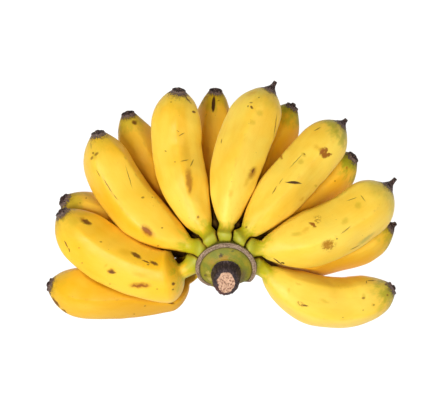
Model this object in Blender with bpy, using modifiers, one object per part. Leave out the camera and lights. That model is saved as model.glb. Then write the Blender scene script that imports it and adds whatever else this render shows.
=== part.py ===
"""A hand of small apple bananas as cut from the bunch, lying on its lower fingers with all the ends curled up.

Frame: metres, +Z up. The hand lies on z = 0, the stub of the bunch stalk leans towards -Y, and the fingers
fan out from it to the left, the back and the right in two rows. The origin is under the middle of the
hand's box. Sizes in this file are in millimetres until a mesh is made.
"""

import math
from collections import namedtuple

import bmesh
import bpy
import numpy as np
from mathutils import Vector

MM = 0.001

# Crown and stalk: what the cut left of the bunch stalk, with the finger roots round its side.
CROWN_CENTRE = np.array([2.9, -50.3, 52.0])
CROWN_LEAN = math.radians(38.0)
CROWN_RADIUS = 20.5
CROWN_SIDES = 48
CROWN_DEPTH = 32.0
SCAR_RADIUS = 23.0
STUB_RADIUS = 11.0
STUB_LENGTH = 21.0
CUT_RADIUS = 7.4
CUT_SLANT = math.radians(26.0)
SLANTED_ABOVE = 8.0
OPEN_SIDE_FLAT = 0.2
OPEN_SIDE_EDGES = (20.0, 75.0)
FLATTENED_BELOW = 5.0

# Fingers: a neck, a swollen body with five soft ridges, and a dried blossom end with its style.
FINGER_SIDES = 18
NECK_RADIUS = 5.9
TIP_RADIUS = 5.2
SWELL_POWER = 0.8
TAPER_FROM = 0.60
SHOULDER_AT = 0.14
CURL_FROM = 0.60
RIDGES = 5
RIDGE_HEIGHT = 0.035
RIDGES_RISE = (0.12, 0.30)
RIDGES_FALL = (0.86, 1.0)
RIDGE_ROLL = 37.0
CAP_RADIUS = 4.3
CAP_FORWARD = 1.2
STYLE_FOOT_RADIUS = 2.6
STYLE_FOOT_FORWARD = 1.8
STYLE_RADIUS = 1.7
FRONT_ROW_DROP = 9.0
BACK_ROW_DROP = 23.0
ROOT_GAP = 0.5
NECK_GAP = 1.2
FINGER_GAP = 0.7

# row: front is the upper row, back the one under it. azimuth: where the root sits round the crown, degrees.
# tip: from the crown's centre, before the curl. side_bow, up_bow: rise of the axis over its chord. curl: how far
# the end is lifted over the last part of the run. shoulder: how far the axis swings aside just past the neck.
# girth: greatest diameter. swell_from, full_at: shares of the run between which the body swells. blunt: how
# late and how suddenly the body narrows to its tip. style: its length.
Finger = namedtuple("Finger", "row azimuth tip side_bow up_bow curl shoulder girth swell_from full_at blunt style")
FINGERS = {
    "finger_front_1": Finger("front", 174, (-124.0, 42.5, -11.5), 18.5, -4.5, 8, 8, 43, 0.085, 0.165, 4.4, 0.8),
    "finger_front_2": Finger("front", 146, (-97.0, 102.0, -6.5), 15.5, -6, 9, 2, 39.5, 0.08, 0.46, 4.2, 0.8),
    "finger_front_3": Finger("front", 119, (-35.8, 134.0, -2.5), 12, -8.5, 9, 0, 38.5, 0.08, 0.54, 5.6, 0.8),
    "finger_front_4": Finger("front", 92, (34.0, 137.0, -9.5), 8, -2.5, 6, -1, 40.4, 0.09, 0.56, 5.2, 6),
    "finger_front_5": Finger("front", 66, (88.5, 111.0, -14.0), 1.4, -1.5, 6, -2, 37.5, 0.08, 0.5, 5.2, 4),
    "finger_front_6": Finger("front", 38, (123.5, 63.0, -15.5), -12, -0.5, 6, -1.5, 43.5, 0.08, 0.44, 5.4, 7),
    "finger_front_7": Finger("front", -7, (127.5, -13.2, -34.0), -19.1, -3, 7, 3, 39, 0.1, 0.5, 4.6, 0.8),
    "finger_back_1": Finger("back", 186, (-135.5, -10.0, -38.0), 14, -1, 8, 7, 40.5, 0.125, 0.26, 4.8, 0.6),
    "finger_back_2": Finger("back", 158, (-125.0, 55.0, -32.5), 6, -8.5, 9, 0, 36.5, 0.08, 0.46, 4, 1.2),
    "finger_back_3": Finger("back", 132, (-76.2, 122.5, -32.0), 9.5, -10.5, 9, 0, 36, 0.08, 0.46, 3.1, 0.6),
    "finger_back_4": Finger("back", 105, (-7.9, 141.5, -35.5), 3, -12.7, 9, 0, 33, 0.08, 0.46, 3.2, 0.6),
    "finger_back_5": Finger("back", 79, (52.0, 129.5, -37.0), 4, -8, 8, 0, 35, 0.08, 0.46, 4, 1.4),
    "finger_back_6": Finger("back", 53, (99.0, 89.0, -35.5), -1, -8, 9, 0, 36, 0.08, 0.46, 4.2, 0.6),
    "finger_back_7": Finger("back", 22, (127.5, 35.0, -35.5), -10, -6.5, 8, 0, 37.5, 0.08, 0.46, 4, 3),
}

PEEL_YELLOW = (0.86, 0.56, 0.07, 1.0)
CROWN_GREEN = (0.30, 0.33, 0.05, 1.0)

# The crown's own directions: along the stalk, across the hand, and square to both, up the slope.
AXIS = np.array([0.0, -math.sin(CROWN_LEAN), math.cos(CROWN_LEAN)])
ACROSS = np.array([1.0, 0.0, 0.0])
UPHILL = np.array([0.0, math.cos(CROWN_LEAN), math.sin(CROWN_LEAN)])
UP = np.array([0.0, 0.0, 1.0])

# Neighbouring fingers are drawn in towards the middle between them, a share of the way each round.
AXIS_SAMPLES = np.linspace(0.0, 1.0, 41)
PRESS_ROUNDS = 12
PRESS_SHARE = 0.6
LEAST_LEFT = 0.3


def smoothstep(low, high, value):
    """Rises from 0 at low to 1 at high."""
    share = np.clip((value - low) / (high - low), 0.0, 1.0)
    return share * share * (3.0 - 2.0 * share)


def unit(vectors):
    """The vectors at length 1."""
    return vectors / np.linalg.norm(vectors, axis=-1, keepdims=True)


def open_side_scale(azimuth):
    """How far the crown is flattened on its open side, towards -Y, where no finger grows."""
    away = np.abs((np.degrees(azimuth) + 90.0 + 180.0) % 360.0 - 180.0)
    return 1.0 - OPEN_SIDE_FLAT * (1.0 - smoothstep(*OPEN_SIDE_EDGES, away))


def crown_profile():
    """(radius, height along the stalk) from the stub's cut face down to the cut behind the back row."""
    return [
        (0.0, STUB_LENGTH),
        (CUT_RADIUS, STUB_LENGTH),
        (CUT_RADIUS + 1.2, STUB_LENGTH - 0.9),
        (STUB_RADIUS - 1.4, STUB_LENGTH - 4.0),
        (STUB_RADIUS - 0.4, STUB_LENGTH - 9.0),
        (STUB_RADIUS + 0.4, 8.0),
        (STUB_RADIUS + 2.6, 5.8),
        (17.0, 4.3),
        (19.6, 2.6),
        (SCAR_RADIUS - 1.2, 2.6),
        (SCAR_RADIUS, 1.4),
        (SCAR_RADIUS, 0.2),
        (SCAR_RADIUS - 1.4, -1.2),
        (CROWN_RADIUS, -2.2),
        (CROWN_RADIUS, 3.0 - CROWN_DEPTH),
        (CROWN_RADIUS - 2.5, -CROWN_DEPTH),
        (0.0, -CROWN_DEPTH),
    ]


def beside_crown(points, gap, touching):
    """The points moved square to the stalk: touching ones to the gap off the crown, others at least that far."""
    rel = points - CROWN_CENTRE
    azimuth = np.arctan2(rel @ UPHILL, rel @ ACROSS)
    radius = CROWN_RADIUS * open_side_scale(azimuth) + gap
    if not touching:
        radius = np.maximum(radius, np.hypot(rel @ UPHILL, rel @ ACROSS))
    outward = np.cos(azimuth)[:, None] * ACROSS + np.sin(azimuth)[:, None] * UPHILL
    return CROWN_CENTRE + (rel @ AXIS)[:, None] * AXIS + radius[:, None] * outward


def finger_root(finger):
    """Where the finger's axis leaves the crown's side."""
    azimuth = math.radians(finger.azimuth)
    drop = FRONT_ROW_DROP if finger.row == "front" else BACK_ROW_DROP
    outward = math.cos(azimuth) * ACROSS + math.sin(azimuth) * UPHILL
    radius = CROWN_RADIUS * open_side_scale(azimuth) + ROOT_GAP
    return CROWN_CENTRE - drop * AXIS + radius * outward


def finger_axis(finger, shares):
    """The axis at these shares of its run: its points, and there the ways along, to the side and over."""
    root = finger_root(finger)
    chord = CROWN_CENTRE + np.array(finger.tip) - root
    level = unit(np.array([-chord[1], chord[0], 0.0]))
    bow = finger.side_bow * level + finger.up_bow * UP
    t = np.asarray(shares, float)[:, None]
    swing = np.exp(1.0 - t / SHOULDER_AT) / SHOULDER_AT
    late = np.clip((t - CURL_FROM) / (1.0 - CURL_FROM), 0.0, 1.0)
    points = root + chord * t + 4.0 * t * (1.0 - t) * bow + t * swing * finger.shoulder * level
    points = points + finger.curl * late ** 2 * UP
    turn = (1.0 - t / SHOULDER_AT) * swing * finger.shoulder * level
    lift = 2.0 * finger.curl * late / (1.0 - CURL_FROM) * UP
    along = unit(chord + 4.0 * (1.0 - 2.0 * t) * bow + turn + lift)
    side = unit(np.cross(along, UP))
    return points, along, side, np.cross(side, along)


def body_radius(finger, shares):
    """The finger's radius at these shares of its run: neck, swelling body, rounded shoulder to the tip."""
    t = np.asarray(shares, float)
    swell = np.clip((t - finger.swell_from) / (finger.full_at - finger.swell_from), 0.0, 1.0)
    taper = 1.0 - np.clip((t - TAPER_FROM) / (1.0 - TAPER_FROM), 0.0, 1.0) ** finger.blunt
    body = NECK_RADIUS + (finger.girth / 2.0 - NECK_RADIUS) * np.sin(swell * math.pi / 2.0) ** SWELL_POWER
    return TIP_RADIUS + (body - TIP_RADIUS) * taper


def distance_to(finger, points):
    """Signed distance from the points to a finger's plain round body, negative inside it."""
    axis = finger_axis(finger, AXIS_SAMPLES)[0]
    radius = body_radius(finger, AXIS_SAMPLES)
    start, run = axis[:-1], axis[1:] - axis[:-1]
    rel = points[:, None, :] - start[None]
    share = np.clip((rel * run).sum(-1) / (run * run).sum(-1), 0.0, 1.0)
    apart = np.linalg.norm(rel - share[..., None] * run, axis=-1)
    return (apart - (radius[:-1] + share * (radius[1:] - radius[:-1]))).min(axis=1)


def press(name, centres, points):
    """Fingers that grow against each other flatten: points are drawn in to half way between the two."""
    outward = points - centres
    for _ in range(PRESS_ROUNDS):
        own = distance_to(FINGERS[name], points)
        excess = np.zeros(len(points))
        for other in FINGERS:
            if other != name:
                excess = np.maximum(excess, own + FINGER_GAP - distance_to(FINGERS[other], points))
        reach = np.linalg.norm(outward, axis=1)
        shrink = np.clip(1.0 - PRESS_SHARE * excess / np.maximum(reach, FINGER_GAP), LEAST_LEFT, 1.0)
        outward = outward * shrink[:, None]
        points = centres + outward
    return points


def ring_shares():
    """The shares of a finger's run that carry a ring of points: closer at the neck and at the tip."""
    neck = np.linspace(0.0, 0.30, 9)[:-1]
    body = np.linspace(0.30, 0.80, 8)[:-1]
    shoulder = np.linspace(0.80, 1.0, 6)
    return np.concatenate([neck, body, shoulder])


def finger_rings(name):
    """The finger's rings of points, root first, with those of the blossom end and its style last."""
    finger = FINGERS[name]
    shares = ring_shares()
    centres, along, side, over = finger_axis(finger, shares)
    angles = np.arange(FINGER_SIDES) * 2.0 * math.pi / FINGER_SIDES
    roll = math.radians(RIDGE_ROLL * list(FINGERS).index(name))
    ridged = smoothstep(*RIDGES_RISE, shares) * (1.0 - smoothstep(*RIDGES_FALL, shares))
    factor = 1.0 + RIDGE_HEIGHT * ridged[:, None] * np.cos(RIDGES * (angles - roll))[None]
    directions = np.cos(angles)[None, :, None] * side[:, None] + np.sin(angles)[None, :, None] * over[:, None]
    outward = (body_radius(finger, shares)[:, None] * factor)[..., None] * directions
    blossom_end = [
        (CAP_FORWARD, CAP_RADIUS),
        (STYLE_FOOT_FORWARD, STYLE_FOOT_RADIUS),
        (STYLE_FOOT_FORWARD + finger.style, STYLE_RADIUS),
    ]
    for forward, radius in blossom_end:
        centres = np.vstack([centres, centres[len(shares) - 1] + forward * along[-1]])
        outward = np.concatenate([outward, radius * directions[-1:]])
    points = (centres[:, None] + outward).reshape(-1, 3)
    points = press(name, np.repeat(centres, FINGER_SIDES, axis=0), points)
    points = beside_crown(points, NECK_GAP, touching=False)
    rings = list(points.reshape(len(centres), FINGER_SIDES, 3))
    rings[0] = beside_crown(rings[0], ROOT_GAP, touching=True)
    return rings


def loft(rings, first_middle, last_middle):
    """The closed bmesh through rings of points, each with as many, fanned shut at both ends."""
    mesh = bmesh.new()
    loops = [[mesh.verts.new(Vector(point) * MM) for point in ring] for ring in rings]
    start = mesh.verts.new(Vector(first_middle) * MM)
    end = mesh.verts.new(Vector(last_middle) * MM)
    sides = len(loops[0])
    for k in range(sides):
        beside = (k + 1) % sides
        mesh.faces.new((loops[0][beside], loops[0][k], start))
        mesh.faces.new((loops[-1][k], loops[-1][beside], end))
        for here, there in zip(loops[:-1], loops[1:]):
            mesh.faces.new((here[k], here[beside], there[beside], there[k]))
    bmesh.ops.recalc_face_normals(mesh, faces=mesh.faces)
    return mesh


def flatten_where_it_rests(mesh):
    """Cuts off what would sink below z = 0 and closes the cut with one flat face."""
    geometry = mesh.verts[:] + mesh.edges[:] + mesh.faces[:]
    cut = bmesh.ops.bisect_plane(
        mesh, geom=geometry, dist=1e-6, plane_co=(0.0, 0.0, 0.0), plane_no=(0.0, 0.0, -1.0), clear_outer=True)
    rim = [item for item in cut["geom_cut"] if isinstance(item, bmesh.types.BMEdge)]
    if rim:
        bmesh.ops.contextual_create(mesh, geom=rim)
        bmesh.ops.recalc_face_normals(mesh, faces=mesh.faces)


def make_finger(name, material, collection):
    """One finger, from its root on the crown to its style."""
    rings = finger_rings(name)
    root_middle = beside_crown(finger_axis(FINGERS[name], [0.0])[0], ROOT_GAP, touching=True)[0]
    solid = loft(rings, root_middle, rings[-1].mean(axis=0))
    flatten_where_it_rests(solid)
    mesh = bpy.data.meshes.new(name)
    solid.to_mesh(mesh)
    solid.free()
    mesh.shade_smooth()
    mesh.set_sharp_from_angle(angle=math.radians(50.0))
    mesh.materials.append(material)
    collection.objects.link(bpy.data.objects.new(name, mesh))


def make_crown(material, collection):
    """The crown with the bract scar and the stub, turned, flattened on its open side and cut at a slant."""
    profile = bpy.data.meshes.new("crown_profile")
    points = [Vector((radius, 0.0, height)) * MM for radius, height in crown_profile()]
    profile.from_pydata(points, [(i, i + 1) for i in range(len(points) - 1)], [])
    crown = bpy.data.objects.new("crown_stalk", profile)
    collection.objects.link(crown)
    screw = crown.modifiers.new("turn", "SCREW")
    screw.steps = CROWN_SIDES
    screw.render_steps = CROWN_SIDES
    screw.use_merge_vertices = True
    screw.merge_threshold = 0.00001
    bpy.context.view_layer.update()
    mesh = bpy.data.meshes.new_from_object(crown.evaluated_get(bpy.context.evaluated_depsgraph_get()))
    crown.modifiers.clear()
    crown.data = mesh
    bpy.data.meshes.remove(profile)
    for vertex in mesh.vertices:
        share = (vertex.co.z / MM - SLANTED_ABOVE) / (STUB_LENGTH - SLANTED_ABOVE)
        if share > 0.0:
            vertex.co.z -= math.tan(CUT_SLANT) * share * vertex.co.y
        elif vertex.co.z < FLATTENED_BELOW * MM:
            scale = float(open_side_scale(math.atan2(vertex.co.y, vertex.co.x)))
            vertex.co.x *= scale
            vertex.co.y *= scale
    crown.location = Vector(CROWN_CENTRE) * MM
    crown.rotation_euler = (CROWN_LEAN, 0.0, 0.0)
    mesh.shade_smooth()
    mesh.set_sharp_from_angle(angle=math.radians(40.0))
    mesh.materials.append(material)


def principled(name, colour, roughness):
    """A plain material of one colour."""
    material = bpy.data.materials.new(name)
    material.use_nodes = True
    shader = material.node_tree.nodes["Principled BSDF"]
    shader.inputs["Base Color"].default_value = colour
    shader.inputs["Roughness"].default_value = roughness
    shader.inputs["Metallic"].default_value = 0.0
    return material


def main():
    for obj in list(bpy.data.objects):
        bpy.data.objects.remove(obj)
    collection = bpy.data.collections.new("apple_banana_hand")
    bpy.context.scene.collection.children.link(collection)
    make_crown(principled("crown_green", CROWN_GREEN, 0.6), collection)
    peel = principled("peel_yellow", PEEL_YELLOW, 0.45)
    for name in FINGERS:
        make_finger(name, peel, collection)


main()
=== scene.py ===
"""The looks of a hand of small apple bananas: peel with its marks, dried blossom ends, crown and light.

Frame: metres, +Z up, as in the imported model. Sizes here are in millimetres until a mesh is made.
"""

import math
from collections import namedtuple

import bpy
import numpy as np
from mathutils import Matrix, Vector
from mathutils.bvhtree import BVHTree


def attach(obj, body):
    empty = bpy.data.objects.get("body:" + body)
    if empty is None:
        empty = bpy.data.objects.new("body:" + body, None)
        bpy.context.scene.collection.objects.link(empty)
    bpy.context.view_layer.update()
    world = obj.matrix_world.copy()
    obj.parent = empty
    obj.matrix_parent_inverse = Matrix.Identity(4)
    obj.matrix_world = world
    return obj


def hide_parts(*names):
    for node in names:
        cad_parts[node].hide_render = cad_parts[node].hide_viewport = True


MM = 0.001

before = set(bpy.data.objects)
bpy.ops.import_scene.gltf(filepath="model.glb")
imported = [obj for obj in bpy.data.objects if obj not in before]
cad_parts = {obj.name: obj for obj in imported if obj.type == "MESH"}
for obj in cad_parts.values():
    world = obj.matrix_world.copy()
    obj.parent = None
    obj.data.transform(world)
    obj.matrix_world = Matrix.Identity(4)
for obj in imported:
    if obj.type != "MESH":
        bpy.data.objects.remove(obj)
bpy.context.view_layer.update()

# Crown and stalk, as in the solids.
CROWN_CENTRE = np.array([2.9, -50.3, 52.0])
CROWN_LEAN = math.radians(38.0)
CROWN_RADIUS = 20.5
CROWN_DEPTH = 32.0
SCAR_RADIUS = 23.0
STUB_RADIUS = 11.0
STUB_LENGTH = 21.0
CUT_RADIUS = 7.4
CUT_SLANT = math.radians(26.0)
SLANTED_ABOVE = 8.0
OPEN_SIDE_FLAT = 0.2
OPEN_SIDE_EDGES = (20.0, 75.0)

# Fingers, as in the solids.
NECK_RADIUS = 5.9
TIP_RADIUS = 5.2
SWELL_POWER = 0.8
TAPER_FROM = 0.60
SHOULDER_AT = 0.14
CURL_FROM = 0.60
RIDGES = 5
RIDGES_RISE = (0.12, 0.30)
RIDGES_FALL = (0.86, 1.0)
FRONT_ROW_DROP = 9.0
BACK_ROW_DROP = 23.0
ROOT_GAP = 0.5

# What only the fine meshes have.
SIDES = 96
ROOT_SUNK = 2.5
FLARE = 3.4
FLARE_LENGTH = 4.2
FINGER_GAP = 0.45
RIDGE_HEIGHT = 0.10
UNEVEN = 0.32
UNEVEN_RISE = (0.0, 0.12)
UNEVEN_FALL = (0.94, 1.0)
LUMPS = 0.10
LONG_STYLE = 3.0
CRUMPLE = 0.07
CRUMPLE_LIFT = 0.05

# Necks of the back row swell under the front row, most at the crown. A finger that leaves the crown at
# OPEN_TO_VIEW_FROM or more shows at its front and keeps only OPEN_SIDE_SHARE of the swelling there. What
# lies more than GROWN_OUT off a finger's plain round body runs HIDDEN_OVERLAP into the next finger.
HIDDEN_NECK_SWELL = 14.0
HIDDEN_NECK_LENGTH = 34.0
OPEN_TO_VIEW_FROM = 180.0
OPEN_SIDE_SHARE = 0.22
GROWN_OUT = 1.0
HIDDEN_OVERLAP = 0.25

# azimuth: where the finger leaves the crown, degrees. tip: its end, from the crown's middle. side_bow,
# up_bow: how far its middle bows out. curl: how far its end turns up. shoulder: how far it steps aside past
# the neck. girth: its full thickness, reached between the shares swell_from and full_at of its run. blunt:
# how late and how sharply it rounds off to the tip. style: how long the dried style is.
Finger = namedtuple(
    "Finger", "row azimuth tip side_bow up_bow curl shoulder girth swell_from full_at blunt style")
FINGERS = {
    "finger_front_1": Finger("front", 174, (-124, 42.5, -11.5), 18.5, -4.5, 8, 8, 43, 0.085, 0.165, 4.4, 0.8),
    "finger_front_2": Finger("front", 146, (-97, 102, -6.5), 15.5, -6, 9, 2, 39.5, 0.08, 0.46, 4.2, 0.8),
    "finger_front_3": Finger("front", 119, (-35.8, 134, -2.5), 12, -8.5, 9, 0, 38.5, 0.08, 0.54, 5.6, 0.8),
    "finger_front_4": Finger("front", 92, (34, 137, -9.5), 8, -2.5, 6, -1, 40.4, 0.09, 0.56, 5.2, 6),
    "finger_front_5": Finger("front", 66, (88.5, 111, -14), 1.4, -1.5, 6, -2, 37.5, 0.08, 0.5, 5.2, 4),
    "finger_front_6": Finger("front", 38, (123.5, 63, -15.5), -12, -0.5, 6, -1.5, 43.5, 0.08, 0.44, 5.4, 7),
    "finger_front_7": Finger("front", -7, (127.5, -13.2, -34), -19.1, -3, 7, 3, 39, 0.1, 0.5, 4.6, 0.8),
    "finger_back_1": Finger("back", 186, (-135.5, -10, -38), 14, -1, 8, 7, 40.5, 0.125, 0.26, 4.8, 0.6),
    "finger_back_2": Finger("back", 158, (-125, 55, -32.5), 6, -8.5, 9, 0, 36.5, 0.08, 0.46, 4, 1.2),
    "finger_back_3": Finger("back", 132, (-76.2, 122.5, -32), 9.5, -10.5, 9, 0, 36, 0.08, 0.46, 3.1, 0.6),
    "finger_back_4": Finger("back", 105, (-7.9, 141.5, -35.5), 3, -12.7, 9, 0, 33, 0.08, 0.46, 3.2, 0.6),
    "finger_back_5": Finger("back", 79, (52, 129.5, -37), 4, -8, 8, 0, 35, 0.08, 0.46, 4, 1.4),
    "finger_back_6": Finger("back", 53, (99, 89, -35.5), -1, -8, 9, 0, 36, 0.08, 0.46, 4.2, 0.6),
    "finger_back_7": Finger("back", 22, (127.5, 35, -35.5), -10, -6.5, 8, 0, 37.5, 0.08, 0.46, 4, 3),
}

# ridge: a pixel of the photograph that one of the finger's five ridges runs through. warmth: from a pale
# lemon, 0, to a deep golden peel, 1. green_tip: how green the peel still is beside the blossom end.
# green_reach, dark_reach: how far from the crown the neck is green, and in the dark under the front row, mm.
Look = namedtuple("Look", "ridge warmth green_tip green_reach dark_reach")
LOOKS = {
    "finger_front_1": Look((85, 272), 0.92, 0.25, 12, 0),
    "finger_front_2": Look((112, 195), 0.85, 0.20, 17, 0),
    "finger_front_3": Look((178, 146), 0.56, 0.15, 13, 0),
    "finger_front_4": Look((243, 140), 0.34, 0.20, 11, 0),
    "finger_front_5": Look((286, 152), 0.24, 0.75, 13, 0),
    "finger_front_6": Look((335, 200), 0.16, 0.25, 14, 0),
    "finger_front_7": Look((318, 286), 0.20, 0.75, 17, 0),
    "finger_back_1": Look((110, 300), 0.60, 0.15, 10, 5),
    "finger_back_2": Look((95, 205), 0.60, 0.50, 5, 27),
    "finger_back_3": Look((140, 135), 0.55, 0.45, 5, 27),
    "finger_back_4": Look((208, 105), 0.65, 0.50, 5, 27),
    "finger_back_5": Look((288, 120), 0.75, 0.85, 5, 27),
    "finger_back_6": Look((345, 170), 0.70, 0.95, 5, 27),
    "finger_back_7": Look((375, 245), 0.55, 0.60, 5, 27),
}

# Marks on the peel, by kind. x, y: middle, a pixel of the photograph. length, width: in its pixels. turn: of
# the length, counter-clockwise from level, degrees, and 0 where it is left out.
Mark = namedtuple("Mark", "x y length width turn", defaults=[0])
MARKS = {
    "finger_front_1": {
        "scar": [
            (86.5, 222, 12, 4.6, -22), (66, 244, 8.5, 1.8, -65), (69, 250, 6, 1.2, -60),
            (136, 255, 14, 4.2, -31), (146, 261.5, 10, 1.8, -20), (154, 263, 11, 3.8, -24),
            (112, 272, 9, 3.6, -12), (173.5, 284, 3.6, 4.4),
        ],
        "bruise": [(83, 220, 9, 6, -22), (111, 271, 9, 6, 10), (140, 285.5, 26, 8, 3)],
        "speck": [
            (101, 242, 3.4, 1.6, -10), (148, 264.5, 3, 2), (173, 289.5, 3.2, 2, 30),
            (157, 289, 2, 1.8), (110, 284, 2, 1.6), (79, 248, 1.8, 1.6), (82, 263, 1.8, 1.6),
        ],
        "faint": [(125, 252, 17, 9, -15), (106, 266, 6, 3, 35), (140, 275, 18, 6, -12)],
        "blotch": [(140, 285.8, 19, 3.4, 3)],
    },
    "finger_front_2": {
        "olive": [(94.5, 156, 10, 6.5, 78)],
        "speck": [
            (92, 158, 5, 3.4, 60), (96.5, 154, 6, 3.4, 40), (93, 153, 3, 3, 40), (143, 197.5, 4, 2.6),
            (152.5, 197, 1.8, 1.6), (162, 228, 3.2, 2), (158, 246, 2.6, 1.6, 20),
        ],
        "line": [
            (98, 173, 10, 1, -60), (108, 186, 20, 1.2, -57), (115.5, 197, 9, 0.9, -52),
            (129, 177, 26, 0.9, -73), (91, 146, 7, 0.9, -80),
        ],
        "bruise": [(147.5, 231.5, 21, 11, -42)],
        "blotch": [(147, 231, 15, 5, -42)],
    },
    "finger_front_3": {
        "scar": [(187, 98, 15, 2, -52), (194, 112, 3.6, 2.8)],
        "faint": [(186, 150, 34, 10, -84), (198, 217, 6, 7)],
        "bruise": [(189, 180, 32, 8.5, -86), (190, 188, 14, 6, -86)],
        "line": [
            (181.5, 134.5, 8, 1, 32), (184.5, 160.5, 9, 1.3, 14), (192, 163, 10, 1.3, 66),
            (178, 131, 4, 0.9, -30),
        ],
        "speck": [(165.5, 151, 2, 3, 70), (198, 217, 4, 3, 60), (175, 162, 1.8, 1.8), (171, 102, 2.2, 1.6)],
    },
    "finger_front_4": {
        "scar": [(251.5, 107, 4.5, 2.4, -60), (253, 171, 7, 2.4, 62)],
        "speck": [(248, 106, 3, 2, 60), (251, 102.5, 4, 1.8), (259, 97.5, 2, 1.4, 20)],
        "olive": [(260, 113, 9, 8.5), (253, 122, 7, 7)],
        "line": [(221.5, 141, 6, 1.2, 80), (275.5, 125, 26, 1, 82)],
        "bruise": [(252.5, 173, 17, 9, 62)],
        "faint": [(247, 181, 16, 6, 62), (230.5, 194, 12, 6, 85), (252, 93, 14, 6, 25)],
    },
    "finger_front_5": {
        "blotch": [
            (324.5, 155, 9, 5.5, -8), (322, 152, 9, 3.5, 40), (326, 151, 4, 9, 10),
            (328.5, 154.5, 8, 3.2, 15),
        ],
        "bruise": [(322.5, 151, 10, 7, -20), (281.5, 157, 3.5, 5.5)],
        "faint": [(316.5, 147, 8, 7), (302, 199, 9, 4, 40)],
        "dark": [(294, 182.5, 12.5, 3, -4), (294, 182.7, 17.5, 1.5, -4)],
        "line": [
            (274.5, 190, 11, 1.2, 58), (281, 181, 8, 0.8, 55), (296, 161, 22, 0.9, 47),
            (317.5, 129, 9, 1.2, 28),
        ],
        "olive": [(304, 154.5, 7, 4.5, -50), (301, 161.5, 8, 7), (316, 186, 4, 4)],
        "speck": [(304.5, 154, 2.8, 2.2, -40), (246.5, 227, 3.4, 2.4, 40)],
    },
    "finger_front_6": {
        "blotch": [(312.5, 224.5, 10, 4, -38)],
        "speckled": [(317.5, 219, 9, 9), (328.5, 245.5, 19, 15, 25)],
        "faint": [(306, 229, 12, 6, 30)],
        "olive": [(296.5, 234, 14, 6, 10), (358, 205, 8, 9), (345, 221, 12, 8, 40)],
        "bruise": [(327, 244.5, 14, 10, 20)],
        "speck": [(337, 238.5, 2.6, 2.2)],
        "line": [
            (346, 230, 15, 1, 38), (352, 199, 12, 1, 20), (363, 198, 9, 1, -55), (355, 247.5, 12, 1.2, 25),
        ],
        "grey": [(366, 239, 26, 5.5, 37)],
        "dark": [(278, 261.5, 12, 1.3, -37), (282.5, 265.5, 4, 1.8, -20)],
    },
    "finger_front_7": {
        "line": [(371.5, 280.5, 10, 1.3, 2), (366.5, 282, 4, 1.2, 70)],
        "scar": [(305, 305.5, 9, 2.2, -16), (386, 284.5, 3.4, 2.6)],
        "speckled": [(301, 304, 9, 5, -25)],
        "olive": [
            (364, 296, 5, 7), (373.5, 305, 5, 4), (298.5, 284, 9, 3, -15), (325, 301, 14, 4, -25),
            (388, 295, 6, 5), (289, 290, 3, 6),
        ],
        "speck": [
            (363.5, 298, 4, 3), (374, 305, 2.2, 2), (363, 310, 1.8, 1.6),
            (343, 317.5, 1.8, 1.4), (387.5, 295, 2.8, 2.4),
        ],
    },
    "finger_back_1": {
        "scar": [
            (55.5, 302, 15, 4, -52), (64.5, 311, 9, 2.4, -48), (171, 303, 8, 3, -8),
            (165, 297, 2.6, 2.2),
        ],
        "speck": [(145, 306, 2.4, 1.4, 20), (134, 314, 2.2, 1.6)],
    },
    "finger_back_2": {"speck": [(86, 198, 2.2, 1.6), (80, 203, 1.8, 1.4)]},
    "finger_back_3": {
        "scar": [(134.5, 122.5, 7, 5.5, -20)],
        "line": [(118.5, 131, 6, 1.4, 70)],
    },
    "finger_back_4": {
        "dark": [(213.5, 104, 17, 3.8, 86)],
        "speckled": [(205.5, 98, 6, 5, 30)],
        "speck": [(202, 103, 1.8, 1.8)],
        "line": [(218.5, 100.5, 3, 1, 30)],
    },
    "finger_back_5": {"olive": [(291, 112, 9, 6, -20)]},
    "finger_back_6": {
        "bruise": [(347, 168, 3.6, 3.2)],
        "speck": [(335, 181, 1.8, 1.8)],
    },
}

# The crown's own directions: along the stalk, across the hand, and square to both, up the slope.
AXIS = np.array([0.0, -math.sin(CROWN_LEAN), math.cos(CROWN_LEAN)])
ACROSS = np.array([1.0, 0.0, 0.0])
UPHILL = np.array([0.0, math.cos(CROWN_LEAN), math.sin(CROWN_LEAN)])
UP = np.array([0.0, 0.0, 1.0])

AXIS_SAMPLES = np.linspace(0.0, 1.0, 41)

# Fingers press on those that leave the crown within NEIGHBOUR_ANGLE. Each round takes up PRESS_SHARE of the
# overlap and leaves at least LEAST_LEFT of a point's reach. Peel less than CREASE_WITHIN from the next finger
# gets painted shade.
NEIGHBOUR_ANGLE = 62.0
PRESS_ROUNDS = 10
PRESS_SHARE = 0.6
LEAST_LEFT = 0.3
PRESS_SIDES = 48
CREASE_WITHIN = 5.0

# The camera looks down on the hand from a little in front of it.
PHOTO_WIDTH = 439
PHOTO_HEIGHT = 418
MM_PER_PIXEL = 0.75
CAMERA_DISTANCE = 1000.0
CAMERA_ELEVATION = math.radians(82.0)
CROWN_PIXEL = (226.0, 268.0)
SENSOR_WIDTH = 36.0
FOCAL_PIXELS = CAMERA_DISTANCE / MM_PER_PIXEL
VIEW_BACK = np.array([0.0, -math.cos(CAMERA_ELEVATION), math.sin(CAMERA_ELEVATION)])
VIEW_RIGHT = ACROSS
VIEW_UP = np.array([0.0, math.sin(CAMERA_ELEVATION), math.cos(CAMERA_ELEVATION)])
CAMERA_TURN = Matrix((VIEW_RIGHT, VIEW_UP, VIEW_BACK)).transposed()
VIEW_POINT = (
    CROWN_CENTRE
    + VIEW_RIGHT * (PHOTO_WIDTH / 2 - CROWN_PIXEL[0]) * MM_PER_PIXEL
    + VIEW_UP * (CROWN_PIXEL[1] - PHOTO_HEIGHT / 2) * MM_PER_PIXEL
    + VIEW_BACK * CAMERA_DISTANCE
)


def smoothstep(low, high, value):
    """Rises from 0 at low to 1 at high."""
    share = np.clip((value - low) / (high - low), 0.0, 1.0)
    return share * share * (3.0 - 2.0 * share)


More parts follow.
